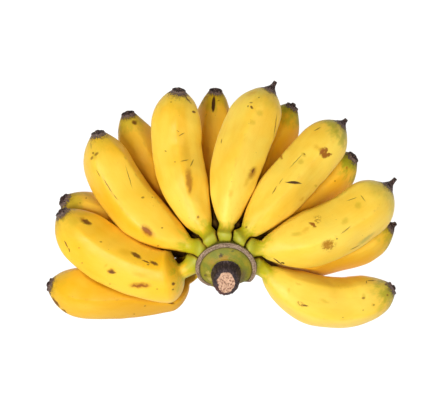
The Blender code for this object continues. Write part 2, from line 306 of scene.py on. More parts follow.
def between(rise, fall, value):
    """Rises from 0 to 1 over the first pair of edges and falls back over the second."""
    return smoothstep(*rise, value) * (1.0 - smoothstep(*fall, value))


def unit(vectors):
    """The vectors at length 1."""
    return vectors / np.linalg.norm(vectors, axis=-1, keepdims=True)


def waves(seed, around, along, count, finest_around, longest, shortest):
    """A smooth unevenness, about -1 to 1, over an angle around and millimetres along a piece."""
    rng = np.random.default_rng(seed)
    total = np.zeros(np.broadcast(around, along).shape)
    for _ in range(count):
        turns = rng.integers(0, finest_around + 1)
        length = rng.uniform(shortest, longest)
        phase = rng.uniform(0.0, 2.0 * math.pi)
        slope = rng.choice([-1.0, 1.0]) * 2.0 * math.pi / length
        total = total + np.cos(turns * around + slope * along + phase)
    return total / math.sqrt(count)


def open_side_scale(azimuth):
    """How far the crown is flattened on its open side, towards -Y, where no finger grows."""
    away = np.abs((np.degrees(azimuth) + 90.0 + 180.0) % 360.0 - 180.0)
    return 1.0 - OPEN_SIDE_FLAT * (1.0 - smoothstep(*OPEN_SIDE_EDGES, away))


def beside_crown(points, gap, touching):
    """Points moved square to the stalk: touching ones to the gap off the crown, others at least that far."""
    rel = points - CROWN_CENTRE
    azimuth = np.arctan2(rel @ UPHILL, rel @ ACROSS)
    radius = CROWN_RADIUS * open_side_scale(azimuth) + gap
    if not touching:
        radius = np.maximum(radius, np.hypot(rel @ UPHILL, rel @ ACROSS))
    outward = np.cos(azimuth)[..., None] * ACROSS + np.sin(azimuth)[..., None] * UPHILL
    return CROWN_CENTRE + (rel @ AXIS)[..., None] * AXIS + radius[..., None] * outward


def finger_root(finger):
    """Where the finger's axis leaves the crown's side."""
    azimuth = math.radians(finger.azimuth)
    drop = FRONT_ROW_DROP if finger.row == "front" else BACK_ROW_DROP
    outward = math.cos(azimuth) * ACROSS + math.sin(azimuth) * UPHILL
    radius = CROWN_RADIUS * open_side_scale(azimuth) + ROOT_GAP
    return CROWN_CENTRE - drop * AXIS + radius * outward


def finger_axis(finger, shares):
    """The axis at these shares of its run: its points, and there the ways along, to the side and over."""
    root = finger_root(finger)
    chord = CROWN_CENTRE + np.array(finger.tip) - root
    level = unit(np.array([-chord[1], chord[0], 0.0]))
    bow = finger.side_bow * level + finger.up_bow * UP
    t = np.asarray(shares, float)[:, None]
    swing = np.exp(1.0 - t / SHOULDER_AT) / SHOULDER_AT
    late = np.clip((t - CURL_FROM) / (1.0 - CURL_FROM), 0.0, 1.0)
    points = root + chord * t + 4.0 * t * (1.0 - t) * bow + t * swing * finger.shoulder * level
    points = points + finger.curl * late ** 2 * UP
    turn = (1.0 - t / SHOULDER_AT) * swing * finger.shoulder * level
    lift = 2.0 * finger.curl * late / (1.0 - CURL_FROM) * UP
    along = unit(chord + 4.0 * (1.0 - 2.0 * t) * bow + turn + lift)
    side = unit(np.cross(along, UP))
    return points, along, side, np.cross(side, along)


def finger_length(finger):
    """The length of the finger's axis."""
    points = finger_axis(finger, AXIS_SAMPLES)[0]
    return float(np.linalg.norm(np.diff(points, axis=0), axis=1).sum())


def body_radius(finger, shares):
    """The finger's radius at these shares of its run: flared neck, swelling body, round shoulder, tip."""
    t = np.asarray(shares, float)
    swell = np.clip((t - finger.swell_from) / (finger.full_at - finger.swell_from), 0.0, 1.0)
    taper = 1.0 - np.clip((t - TAPER_FROM) / (1.0 - TAPER_FROM), 0.0, 1.0) ** finger.blunt
    body = NECK_RADIUS + (finger.girth / 2.0 - NECK_RADIUS) * np.sin(swell * math.pi / 2.0) ** SWELL_POWER
    from_root = t * finger_length(finger)
    flare = FLARE * np.exp(-((from_root / FLARE_LENGTH) ** 2))
    return TIP_RADIUS + (body - TIP_RADIUS) * taper + flare


def grown_radius(finger, shares, directions):
    """The radius, ring by ring in these directions, to which the finger grows where no neighbour stops it."""
    radius = np.repeat(body_radius(finger, shares)[:, None], directions.shape[1], axis=1)
    if finger.row == "back":
        from_root = shares * finger_length(finger)
        swell = HIDDEN_NECK_SWELL * np.exp(-((from_root / HIDDEN_NECK_LENGTH) ** 2))[:, None]
        if finger.azimuth >= OPEN_TO_VIEW_FROM:
            swell = swell * np.clip(directions[..., 1], OPEN_SIDE_SHARE, 1.0)
        radius = radius + swell
    return radius


def distance_to(finger, points):
    """Signed distance from the points to a finger's plain round body, negative inside it."""
    axis = finger_axis(finger, AXIS_SAMPLES)[0]
    radius = body_radius(finger, AXIS_SAMPLES)
    start, run = axis[:-1], axis[1:] - axis[:-1]
    rel = points[:, None, :] - start[None]
    share = np.clip((rel * run).sum(-1) / (run * run).sum(-1), 0.0, 1.0)
    apart = np.linalg.norm(rel - share[..., None] * run, axis=-1)
    return (apart - (radius[:-1] + share * (radius[1:] - radius[:-1]))).min(axis=1)


def distance_to_next(name, points):
    """Signed distance from the points to the nearest of the fingers that press on this one."""
    azimuth = FINGERS[name].azimuth
    others = [other for other in FINGERS.values() if 0 < abs(other.azimuth - azimuth) < NEIGHBOUR_ANGLE]
    return np.min([distance_to(other, points) for other in others], axis=0)


def press(name, centres, points):
    """Fingers that grow against each other flatten: points are drawn in to half way between the two.

    Gives the share of each point's reach that is left, and how near the next finger is there, 0 to 1.
    """
    outward = points - centres
    reach_before = np.linalg.norm(outward, axis=1)
    for _ in range(PRESS_ROUNDS):
        own = distance_to(FINGERS[name], points)
        gap = np.where(own > GROWN_OUT, -HIDDEN_OVERLAP, FINGER_GAP)
        excess = np.maximum(0.0, own + gap - distance_to_next(name, points))
        reach = np.linalg.norm(outward, axis=1)
        shrink = np.clip(1.0 - PRESS_SHARE * excess / np.maximum(reach, FINGER_GAP), LEAST_LEFT, 1.0)
        outward = outward * shrink[:, None]
        points = centres + outward
    left = np.linalg.norm(outward, axis=1) / reach_before
    apart = distance_to_next(name, points) - np.minimum(0.0, own)
    return left, 1.0 - smoothstep(0.0, CREASE_WITHIN, apart)


def directions_round(side, over, angles):
    """The directions away from an axis, ring by ring, at these angles from its side to its upper side."""
    return np.cos(angles)[None, :, None] * side[:, None] + np.sin(angles)[None, :, None] * over[:, None]


def round_axis(radius, angles, height):
    """Points at these radii and angles round a straight axis, and at these heights along it."""
    parts = np.broadcast_arrays(radius * np.cos(angles), radius * np.sin(angles), height)
    return np.stack(parts, axis=-1)


def ring_shares():
    """The shares of a finger's run that carry a ring of points: closer at the neck and at the tip."""
    neck = np.linspace(0.0, 0.26, 40)[:-1]
    body = np.linspace(0.26, 0.80, 42)[:-1]
    shoulder = 1.0 - 0.20 * np.linspace(1.0, 0.0, 30) ** 1.4
    return np.concatenate([neck, body, shoulder])


def blossom_end(style):
    """(forward, radius) of the rings of the dried end: lip, hollow and a stump, or a cone to a long style."""
    if style < LONG_STYLE:
        lip = [(0.5, 5.3), (1.0, 5.2), (1.4, 4.8), (1.5, 4.3)]
        hollow = [(1.3, 3.8), (0.9, 3.4), (0.8, 3.0), (1.1, 2.6), (1.5, 2.3)]
        stump = [(1.8 + 0.5 * style, 2.0), (1.8 + style, 1.7), (2.1 + style, 1.1)]
        return lip + hollow + stump
    forward = np.linspace(0.5, 1.8 + style, 14)
    cone = 1.5 + 3.9 * np.exp(-((forward / (0.24 * style + 1.1)) ** 1.4))
    return list(zip(forward, cone)) + [(2.1 + style, 1.0)]


def resample(field, shares, angles, fine_shares, fine_angles):
    """A field over rings and angles, read at finer rings and angles. The angles run round and meet."""
    turn = 2.0 * math.pi
    wrapped_angles = np.concatenate([angles - turn, angles, angles + turn])
    by_angle = np.stack([np.interp(fine_angles, wrapped_angles, np.tile(row, 3)) for row in field])
    return np.stack([np.interp(fine_shares, shares, column) for column in by_angle.T], axis=1)


def blurred(field, rounds):
    """The field smoothed around and along a little, each round with its next neighbours."""
    for _ in range(rounds):
        field = 0.5 * field + 0.25 * (np.roll(field, 1, axis=1) + np.roll(field, -1, axis=1))
        inner = 0.5 * field[1:-1] + 0.25 * (field[:-2] + field[2:])
        field = np.concatenate([field[:1], inner, field[-1:]])
    return field


def ridge_profile(angles, roll):
    """Five soft ridges with flatter sides between them, from -1 between ridges to 1 on them."""
    wave = np.cos(RIDGES * (angles - roll))
    sector = 2.0 * math.pi / RIDGES
    from_middle = (angles - roll) % sector - sector / 2.0
    flat_sided = math.cos(sector / 2.0) / np.cos(from_middle)
    lowest = math.cos(sector / 2.0)
    flat_sided = 2.0 * (flat_sided - lowest) / (1.0 - lowest) - 1.0
    return 0.25 * wave + 0.75 * flat_sided


def ray_through(pixel):
    """The direction from the camera through a pixel of the photograph."""
    right = (pixel[0] - PHOTO_WIDTH / 2) / FOCAL_PIXELS
    up = (PHOTO_HEIGHT / 2 - pixel[1]) / FOCAL_PIXELS
    return unit(-VIEW_BACK + VIEW_RIGHT * right + VIEW_UP * up)


def angle_seen_at(finger, pixel):
    """The angle round the finger's axis at which its plain body is seen through a pixel."""
    shares = np.linspace(0.1, 0.95, 60)
    centres, _, side, over = finger_axis(finger, shares)
    direction = ray_through(pixel)
    rel = centres - VIEW_POINT
    nearest = rel @ direction
    miss = rel - nearest[:, None] * direction
    k = int(np.argmin(np.linalg.norm(miss, axis=1)))
    radius = float(body_radius(finger, shares)[k])
    off = min(float(np.linalg.norm(miss[k])), 0.98 * radius)
    surface = VIEW_POINT + direction * (nearest[k] - math.sqrt(radius ** 2 - off ** 2))
    outward = surface - centres[k]
    return math.atan2(float(outward @ over[k]), float(outward @ side[k]))


def finger_points(name):
    """The finger's fine rings of points, root first, and what its material reads at each of them."""
    finger = FINGERS[name]
    seed = list(FINGERS).index(name)
    roll = angle_seen_at(finger, LOOKS[name].ridge)
    shares = ring_shares()
    angles = np.arange(SIDES) * 2.0 * math.pi / SIDES
    length = finger_length(finger)

    press_shares = np.concatenate([np.linspace(0.0, 0.3, 22)[:-1], np.linspace(0.3, 1.0, 34)])
    press_angles = np.arange(PRESS_SIDES) * 2.0 * math.pi / PRESS_SIDES
    centres, _, side, over = finger_axis(finger, press_shares)
    directions = directions_round(side, over, press_angles)
    plain = centres[:, None] + grown_radius(finger, press_shares, directions)[..., None] * directions
    middle = np.repeat(centres, PRESS_SIDES, axis=0)
    left, near = press(name, middle, plain.reshape(-1, 3))
    rings = len(press_shares)
    left = resample(left.reshape(rings, -1), press_shares, press_angles, shares, angles)
    near = resample(near.reshape(rings, -1), press_shares, press_angles, shares, angles)
    left = blurred(left, 2)

    centres, along, side, over = finger_axis(finger, shares)
    directions = directions_round(side, over, angles)
    ridged = between(RIDGES_RISE, RIDGES_FALL, shares)
    ridges = ridge_profile(angles, roll)[None] * ridged[:, None]
    run = shares[:, None] * length
    uneven = waves(seed, angles[None], run, 9, 3, 90.0, 26.0)
    lumps = waves(seed + 50, angles[None], run, 9, 7, 30.0, 11.0)
    free = between(UNEVEN_RISE, UNEVEN_FALL, shares)
    radius = grown_radius(finger, shares, directions) * (1.0 + 0.5 * RIDGE_HEIGHT * ridges) * left
    radius = radius + (UNEVEN * uneven + LUMPS * lumps) * free[:, None]
    points = centres[:, None] + radius[..., None] * directions
    points = beside_crown(points, 0.0, touching=False)
    sunk = beside_crown(points[:1], -ROOT_SUNK, touching=True)

    forward_rings = blossom_end(finger.style)
    crumple = waves(seed + 100, angles[None], np.arange(len(forward_rings))[:, None], 14, 17, 9.0, 3.0)
    end = []
    for k, (forward, ring_radius) in enumerate(forward_rings):
        rough = ring_radius + CRUMPLE * crumple[k] * min(1.0, ring_radius / 3.0)
        lift = CRUMPLE_LIFT * np.roll(crumple[k], 9)
        middle = centres[-1] + (forward + lift)[:, None] * along[-1]
        end.append(middle + rough[:, None] * directions[-1])
    points = np.concatenate([sunk, points, np.array(end)])
    points[..., 2] = np.maximum(points[..., 2], 0.0)

    end_profile = np.array([(0.0, TIP_RADIUS)] + list(forward_rings))
    over_the_end = np.cumsum(np.linalg.norm(np.diff(end_profile, axis=0), axis=1))
    all_run = np.concatenate([[-ROOT_SUNK], shares * length, length + over_the_end])
    pad = len(forward_rings)
    body_r = np.concatenate([[NECK_RADIUS], body_radius(finger, shares), [r for _, r in forward_rings]])
    ridge_line = np.clip(ridges, 0.0, 1.0) ** 6
    fields = {
        "grown": round_axis(body_r[:, None], angles[None], all_run[:, None]),
        "from_neck": np.repeat(all_run[:, None], SIDES, axis=1),
        "from_tip": np.repeat(length - all_run[:, None], SIDES, axis=1),
        "ridge_line": np.pad(ridge_line, ((1, pad), (0, 0))),
        "near": np.pad(near, ((1, pad), (0, 0)), mode="edge"),
    }
    return points, fields


def surface_mesh(name, points, fields):
    """A mesh over rings of points, closed round each ring and at both ends, its fields as attributes."""
    rings, sides = points.shape[:2]
    k = np.arange(sides)
    beside = (k + 1) % sides
    first = (np.arange(rings - 1) * sides)[:, None]
    faces = np.stack([first + k, first + beside, first + sides + beside, first + sides + k], axis=-1)
    faces = faces.reshape(-1, 4).tolist()
    middle = rings * sides
    last = middle - sides
    faces += [[int(b), int(a), middle] for a, b in zip(k, beside)]
    faces += [[last + int(a), last + int(b), middle + 1] for a, b in zip(k, beside)]

    def with_middles(values):
        """One row a vertex: those of the rings, then the middles of the first ring and the last."""
        middles = [values[ring].mean(axis=0).reshape(1, -1) for ring in (0, -1)]
        return np.concatenate([values.reshape(rings * sides, -1)] + middles)

    mesh = bpy.data.meshes.new(name)
    mesh.from_pydata((with_middles(points) * MM).tolist(), [], faces)
    for field_name, values in fields.items():
        kind, socket = ("FLOAT_VECTOR", "vector") if values.ndim == 3 else ("FLOAT", "value")
        attribute = mesh.attributes.new(field_name, kind, "POINT")
        attribute.data.foreach_set(socket, with_middles(values).astype(np.float32).ravel())
    mesh.update()
    mesh.validate()
    mesh.shade_smooth()
    return mesh


class Shader:
    """A material's nodes around its Principled shader. Most methods add a node and give its output."""

    def __init__(self, name):
        self.material = bpy.data.materials.new(name)
        self.material.use_nodes = True
        self.tree = self.material.node_tree
        self.surface = self.tree.nodes["Principled BSDF"]

    def put(self, socket, value):
        """Links an output to a socket, or sets the socket's own value. A colour is three numbers."""
        if isinstance(value, bpy.types.NodeSocket):
            self.tree.links.new(value, socket)
        elif socket.type == "RGBA":
            socket.default_value = (*value, 1.0)
        else:
            socket.default_value = value

    def set_surface(self, sockets):
        """Links or sets the sockets of the Principled shader, by name."""
        for name, value in sockets.items():
            self.put(self.surface.inputs[name], value)

    def node(self, kind, inputs, **settings):
        """A new node with its settings made and its inputs linked or set, but for those that are None."""
        node = self.tree.nodes.new("ShaderNode" + kind)
        for name, value in settings.items():
            setattr(node, name, value)
        for name, value in inputs.items():
            if value is not None:
                self.put(node.inputs[name], value)
        return node

    def attribute(self, name, output="Fac"):
        return self.node("Attribute", {}, attribute_name=name).outputs[output]

    def math(self, operation, a, b=0.0, clamp=False):
        return self.node("Math", {0: a, 1: b}, operation=operation, use_clamp=clamp).outputs[0]

    def times(self, *shares):
        """The product of several shares."""
        product = shares[0]
        for share in shares[1:]:
            product = self.math("MULTIPLY", product, share)
        return product

    def vector(self, operation, a, b=None, scale=None):
        node = self.node("VectorMath", {0: a, 1: b, "Scale": scale}, operation=operation)
        return node.outputs["Value" if operation in ("LENGTH", "DISTANCE") else "Vector"]

    def drawn_out(self, place, share):
        """The place as a pattern needs it to be 1 / share times as long along the piece as across it."""
        return self.vector("MULTIPLY", place, (1.0, 1.0, share))

    def noise(self, place, scale, detail=3.0, roughness=0.5, output="Fac"):
        inputs = {"Vector": place, "Scale": scale, "Detail": detail, "Roughness": roughness}
        return self.node("TexNoise", inputs).outputs[output]

    def cells(self, place, scale, output="Distance"):
        return self.node("TexVoronoi", {"Vector": place, "Scale": scale}).outputs[output]

    def step(self, value, low, high, to_low=0.0, to_high=1.0):
        """Goes smoothly from to_low where value is low to to_high where it is high."""
        inputs = {"Value": value, "From Min": low, "From Max": high, "To Min": to_low, "To Max": to_high}
        return self.node("MapRange", inputs, interpolation_type="SMOOTHSTEP").outputs["Result"]

    def mix(self, share, a, b):
        """The colour a where share is 0, and b where it is 1."""
        return self.node("Mix", {0: share, 6: a, 7: b}, data_type="RGBA").outputs[2]

    def bump(self, height, distance, strength=1.0, normal=None):
        inputs = {"Height": height, "Distance": distance, "Strength": strength, "Normal": normal}
        return self.node("Bump", inputs).outputs["Normal"]


# Peel colours, linear.
PALE_PEEL = (0.93, 0.66, 0.085)
GOLD_PEEL = (0.86, 0.46, 0.009)
NECK_GREEN = (0.47, 0.42, 0.006)
PALE_GREEN = (0.40, 0.39, 0.030)
TIP_GREEN = (0.32, 0.31, 0.008)
# Painted shade where fingers lie close together.
CREASE_PAINTED_SHADE = (0.45, 0.155, 0.002)
# Painted shade in the seams between the necks.
SEAM_PAINTED_SHADE = (0.060, 0.024, 0.003)
CAP_DARK = (0.032, 0.014, 0.013)
CAP_GREY = (0.21, 0.145, 0.115)
DEEP_SHADE = (0.050, 0.020, 0.002)
# Painted shade on the back row's peel, towards the crown.
BACK_ROW_PAINTED_SHADE = (0.62, 0.27, 0.003)
STREAK_GOLD = (0.80, 0.43, 0.020)
MOTTLE_GOLD = (0.74, 0.42, 0.030)
WORN_RIDGE = (0.40, 0.22, 0.020)
DOT_BROWN = (0.26, 0.13, 0.015)
SCORCHED = (0.23, 0.13, 0.014)
ROOT_BROWN = (0.12, 0.085, 0.020)

# The peel of the back row, under the front row, is duller.
Gloss = namedtuple("Gloss", "ior subsurface coat")
LIGHT_GOES_IN = (0.0045, 0.0022, 0.0006)
ROW_GLOSS = {"front": Gloss(1.33, 0.12, 0.07), "back": Gloss(1.22, 0.03, 0.0)}

# kind: colour, how soft its edge is, how strongly it covers the peel, how ragged its edge is in millimetres.
MarkKind = namedtuple("MarkKind", "colour softness cover ragged")
MARK_KINDS = {
    "faint": MarkKind((0.68, 0.35, 0.006), 1.0, 0.50, 3.0),
    "olive": MarkKind((0.56, 0.36, 0.008), 0.9, 0.50, 2.4),
    "grey": MarkKind((0.36, 0.32, 0.070), 0.9, 0.60, 2.4),
    "bruise": MarkKind((0.40, 0.150, 0.003), 0.9, 0.85, 3.2),
    "speckled": MarkKind((0.42, 0.18, 0.004), 0.8, 0.90, 3.6),
    "blotch": MarkKind((0.30, 0.085, 0.001), 0.60, 0.95, 4.2),
    "scar": MarkKind((0.135, 0.042, 0.004), 0.70, 0.92, 2.4),
    "speck": MarkKind((0.22, 0.095, 0.004), 0.8, 0.80, 1.2),
    "line": MarkKind((0.18, 0.085, 0.005), 0.7, 0.80, 0.9),
    "dark": MarkKind((0.048, 0.013, 0.003), 0.40, 0.97, 0.9),
}

# A mark goes MARK_DEPTH into the peel. Its edge fades inwards from MARK_REACH times its half size.
MARK_DEPTH = 12.0
MARK_REACH = 1.15


def mark_place(mark, tree):
    """Where a mark lies, as seen through its pixel: its location, rotation and half sizes, metres."""
    direction = ray_through((mark.x, mark.y))
    hit = tree.ray_cast(Vector(VIEW_POINT * MM), Vector(direction))
    if hit[0] is None:
        hit = tree.find_nearest(Vector((VIEW_POINT + direction * CAMERA_DISTANCE) * MM))
    location = hit[0]
    pixel_size = (np.array(location) / MM - VIEW_POINT) @ -VIEW_BACK / FOCAL_PIXELS
    turn = CAMERA_TURN @ Matrix.Rotation(math.radians(mark.turn), 3, "Z")
    half_sizes = (mark.length * pixel_size / 2 * MM, mark.width * pixel_size / 2 * MM, MARK_DEPTH * MM)
    return {"Location": location, "Rotation": turn.to_euler("XYZ"), "Scale": half_sizes}


def add_marks(shader, colour, marks, mesh):
    """The peel's colour with its marks painted over it, and how much they cover."""
    tree = BVHTree.FromPolygons([v.co for v in mesh.vertices], [p.vertices for p in mesh.polygons])
    place = shader.node("TexCoord", {}).outputs["Object"]
    speckles = shader.step(shader.noise(place, 620.0, 2.0, 0.6), 0.42, 0.56)
    covered = None
    for kind_name, kind in MARK_KINDS.items():
        found = [Mark(*numbers) for numbers in marks.get(kind_name, [])]
        if not found:
            continue
        wobble = shader.noise(place, 300.0, 3.0, 0.6, output="Color")
        wobble = shader.vector("SUBTRACT", wobble, (0.5, 0.5, 0.5))
        ragged = shader.vector("SCALE", wobble, scale=kind.ragged * MM)
        wandering = shader.vector("ADD", place, ragged)
        nearest = None
        for mark in found:
            inputs = {"Vector": wandering, **mark_place(mark, tree)}
            mapping = shader.node("Mapping", inputs, vector_type="TEXTURE")
            reach = shader.vector("LENGTH", mapping.outputs["Vector"])
            nearest = reach if nearest is None else shader.math("MINIMUM", nearest, reach)
        share = shader.step(nearest, MARK_REACH, MARK_REACH - kind.softness, 0.0, kind.cover)
        if kind_name == "speckled":
            share = shader.times(share, speckles)
        colour = shader.mix(share, colour, kind.colour)
        covered = share if covered is None else shader.math("MAXIMUM", covered, share)
    return colour, covered


def peel_material(name, mesh):
    """Waxy ripe peel of one finger: golden with paler patches, green neck, brown marks and a dried end."""
    look = LOOKS[name]
    shader = Shader(name + "_peel")
    mix, step, times, noise = shader.mix, shader.step, shader.times, shader.noise
    number = float(list(FINGERS).index(name))
    grown = shader.vector("ADD", shader.attribute("grown", "Vector"), (37.0 * number, 11.0 * number, 0.0))
    from_neck, from_tip, near, ridge_line = (
        shader.attribute(field) for field in ("from_neck", "from_tip", "near", "ridge_line"))

    patches = noise(shader.drawn_out(grown, 0.45), 0.045, 3.0, 0.55)
    gold = step(patches, 0.30, 0.72, max(0.0, look.warmth - 0.35), min(1.0, look.warmth + 0.35))
    colour = mix(gold, PALE_PEEL, GOLD_PEEL)
    streaks = noise(shader.drawn_out(grown, 0.06), 0.55, 4.0, 0.6)
    colour = mix(step(streaks, 0.50, 0.80, 0.0, 0.30), colour, STREAK_GOLD)
    mottle = noise(grown, 0.35, 5.0, 0.65)
    colour = mix(step(mottle, 0.55, 0.85, 0.0, 0.22), colour, MOTTLE_GOLD)

    # Painted shade: the back row's peel turns darker and more orange towards the crown, where the front row
    # shades it.
    if FINGERS[name].row == "back":
        colour = mix(step(from_tip, 10.0, 75.0, 0.25, 0.75), colour, BACK_ROW_PAINTED_SHADE)

    uneven_edge = noise(shader.drawn_out(grown, 0.25), 0.16, 3.0, 0.6)
    reach = shader.math("ADD", from_neck, step(uneven_edge, 0.3, 0.7, -4.5, 4.5))
    neck = step(reach, look.green_reach + 4.0, 0.35 * look.green_reach)
    colour = mix(neck, colour, NECK_GREEN)
    colour = mix(step(from_neck, 6.0, 1.0, 0.0, 0.75), colour, PALE_GREEN)
    tip_reach = shader.math("ADD", from_tip, step(uneven_edge, 0.3, 0.7, -5.0, 5.0))
    colour = mix(step(tip_reach, 16.0, 2.0, 0.0, look.green_tip), colour, TIP_GREEN)

    worn = noise(shader.drawn_out(grown, 0.5), 0.30, 4.0, 0.7)
    ridge_wear = times(ridge_line, step(worn, 0.52, 0.66, 0.0, 0.55))
    colour = mix(ridge_wear, colour, WORN_RIDGE)

    dots = shader.cells(grown, 0.28)
    some = shader.cells(grown, 0.28, output="Color")
    chosen = step(shader.vector("LENGTH", some), 1.25, 1.35)
    speck = times(step(dots, 0.12, 0.05), chosen)
    colour = mix(times(speck, 0.75), colour, DOT_BROWN)

    colour, covered = add_marks(shader, colour, MARKS.get(name, {}), mesh)

    # Painted shade where the peel lies close to the next finger.
    colour = mix(step(near, 0.55, 1.0, 0.0, 0.45), colour, CREASE_PAINTED_SHADE)
    # Painted shade, darker still, in the seams between the necks near the crown.
    seam_shade = times(step(near, 0.82, 1.0), step(from_neck, 24.0, 6.0), 0.8)
    colour = mix(seam_shade, colour, SEAM_PAINTED_SHADE)
    hidden = None
    if look.dark_reach > 0:
        hidden = step(reach, look.dark_reach, 0.6 * look.dark_reach, 0.0, 0.95)
        colour = mix(hidden, colour, DEEP_SHADE)
    root = step(from_neck, -1.3, -2.3, 0.0, 0.8)
    colour = mix(root, colour, ROOT_BROWN)

    fibre = noise(shader.drawn_out(grown, 0.35), 1.1, 4.0, 0.7)
    cap_edge = shader.math("ADD", from_tip, step(fibre, 0.3, 0.7, -1.3, 1.3))
    dry = step(cap_edge, 1.8, 0.6)
    scorched = step(cap_edge, 5.0, 1.6, 0.0, 0.55)
    scorched = times(scorched, step(worn, 0.40, 0.60))
    colour = mix(scorched, colour, SCORCHED)
    cap_colour = mix(step(fibre, 0.46, 0.66), CAP_DARK, CAP_GREY)
    rim = step(cap_edge, -1.9, -0.6)
    cap_colour = mix(times(rim, 0.75), cap_colour, CAP_GREY)
    colour = mix(dry, colour, cap_colour)

    roughness = step(mottle, 0.3, 0.8, 0.42, 0.56)
    if covered is not None:
        roughness = shader.math("ADD", roughness, times(covered, 0.18))
    roughness = shader.math("ADD", roughness, times(dry, 0.35), clamp=True)
    if hidden is not None:
        roughness = shader.math("MAXIMUM", roughness, hidden)

    grain = noise(shader.drawn_out(grown, 0.3), 1.6, 4.0, 0.6)
    pores = noise(grown, 5.0, 2.0, 0.5)
    normal = shader.bump(grain, 0.00016, 0.5)
    normal = shader.bump(pores, 0.00005, 0.4, normal)
    normal = shader.bump(times(fibre, dry), 0.0011, 1.0, normal)
    if covered is not None:
        normal = shader.bump(times(covered, -1.0), 0.00025, 0.7, normal)

    gloss = ROW_GLOSS[FINGERS[name].row]
    shader.set_surface({
        "Base Color": colour,
        "Roughness": roughness,
        "Normal": normal,
        "Metallic": 0.0,
        "IOR": gloss.ior,
        "Subsurface Weight": gloss.subsurface,
        "Subsurface Radius": LIGHT_GOES_IN,
        "Subsurface Scale": 1.0,
        "Coat Weight": gloss.coat,
        "Coat Roughness": 0.35,
    })
    return shader.material


def add_object(name, data):
    """An object of the scene with this data."""
    added = bpy.data.objects.new(name, data)
    bpy.context.scene.collection.objects.link(added)
    return added


def make_finger(name):
    """One finger with its peel, in place of its plain solid."""
    points, fields = finger_points(name)
    mesh = surface_mesh(name + "_fruit", points, fields)
    piece = add_object(name + "_fruit", mesh)
    mesh.materials.append(peel_material(name, mesh))
    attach(piece, "root")
    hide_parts(name)


# Crown: the corky scar runs three quarters round the disc, and the open side is cut back further.
CROWN_SIDES = 240
SCAR_FROM = -29.0
SCAR_TO = 226.0
SCAR_FADE = 9.0
SCAR_HALF_WIDTH = 1.6
SCAR_MIDDLE = 21.3
SCAR_RISE = 1.2
FACE_RADIUS = 6.7
FACE_OFF_CENTRE = 0.5
FACE_NARROWED = 0.94

# The open side's right end is cut back once more, over these angles.
CUT_BACK = 0.13
CUT_BACK_RISE = (-75.0, -52.0)
CUT_BACK_FALL = (-42.0, -30.0)

# Unevenness of the crown, millimetres.
CROWN_LUMPS = 0.25
STUB_STRANDS = 0.16
CORK_STRANDS = 0.12
CROWN_FINE = 0.10

# Crown colours, linear.
CROWN_OLIVE = (0.19, 0.20, 0.005)
CROWN_GOLD = (0.30, 0.245, 0.006)
CROWN_DUSK = (0.14, 0.11, 0.006)
CROWN_RUST = (0.36, 0.185, 0.008)
CROWN_GREY = (0.22, 0.14, 0.055)
# Painted shadow beside the cork ring.
RING_PAINTED_SHADOW = (0.16, 0.115, 0.012)
SCAR_OUTLINE = (0.050, 0.030, 0.010)
CORK_BROWN = (0.17, 0.100, 0.060)
CORK_TAN = (0.43, 0.29, 0.19)
CORK_PIT = (0.10, 0.050, 0.028)
CORK_PALE = (0.60, 0.46, 0.31)
STUB_DARK = (0.022, 0.011, 0.012)
STUB_STRAND = (0.16, 0.105, 0.100)
STUB_RED = (0.105, 0.030, 0.022)
CUT_BROWN = (0.30, 0.135, 0.075)
CUT_TAN = (0.70, 0.43, 0.275)
CUT_SPECK = (0.16, 0.060, 0.035)
UNDER_TAN = (0.34, 0.23, 0.10)

# Spots on the disc: across, up the slope, size and colour. The last two are a pale streak beside the stub.
CROWN_SPOTS = [
    (-3.6, 14.2, 1.9, (0.045, 0.022, 0.006)),
    (4.8, 17.2, 1.1, (0.09, 0.10, 0.008)),
    (-15.0, -3.6, 1.4, (0.075, 0.035, 0.008)),
    (-13.3, -0.5, 2.0, (0.44, 0.34, 0.045)),
    (-12.2, -6.2, 2.2, (0.46, 0.36, 0.060)),
]


def crown_profile():
    """(radius, height along the stalk) from the middle of the cut face out and down to the cut underneath."""
    corners = [
        (0.0, STUB_LENGTH + 0.1), (CUT_RADIUS - 0.7, STUB_LENGTH),
        (CUT_RADIUS, STUB_LENGTH - 0.15), (CUT_RADIUS + 0.7, STUB_LENGTH - 0.6),
        (CUT_RADIUS + 1.7, STUB_LENGTH - 1.7), (STUB_RADIUS - 1.0, STUB_LENGTH - 4.2),
        (STUB_RADIUS - 0.5, STUB_LENGTH - 9.0), (STUB_RADIUS + 0.3, 8.0),
        (STUB_RADIUS + 0.9, 6.6), (STUB_RADIUS + 2.6, 5.6),
        (17.0, 4.2), (19.0, 2.9),
        (19.6, 2.3), (SCAR_MIDDLE, 1.9),
        (SCAR_RADIUS - 0.3, 1.3), (SCAR_RADIUS, 0.6),
        (SCAR_RADIUS - 0.4, -0.4), (SCAR_RADIUS - 1.5, -1.3),
        (CROWN_RADIUS, -2.4), (CROWN_RADIUS, -10.0),
        (CROWN_RADIUS, -20.0), (CROWN_RADIUS, 4.0 - CROWN_DEPTH),
        (CROWN_RADIUS - 1.0, 1.2 - CROWN_DEPTH), (CROWN_RADIUS - 3.0, -CROWN_DEPTH),
        (0.0, 0.6 - CROWN_DEPTH),
    ]
    # How many rings each stretch between two corners has.
    steps = [10, 2, 2, 3, 5, 8, 9, 5, 6, 10, 8, 4, 8, 6, 4, 4, 4, 5, 8, 10, 8, 5, 5, 14]
    profile = []
    for (r0, h0), (r1, h1), count in zip(corners[:-1], corners[1:], steps):
        for share in np.arange(count) / count:
            profile.append((r0 + (r1 - r0) * share, h0 + (h1 - h0) * share))
    profile.append(corners[-1])
    return np.array(profile)[1:-1]


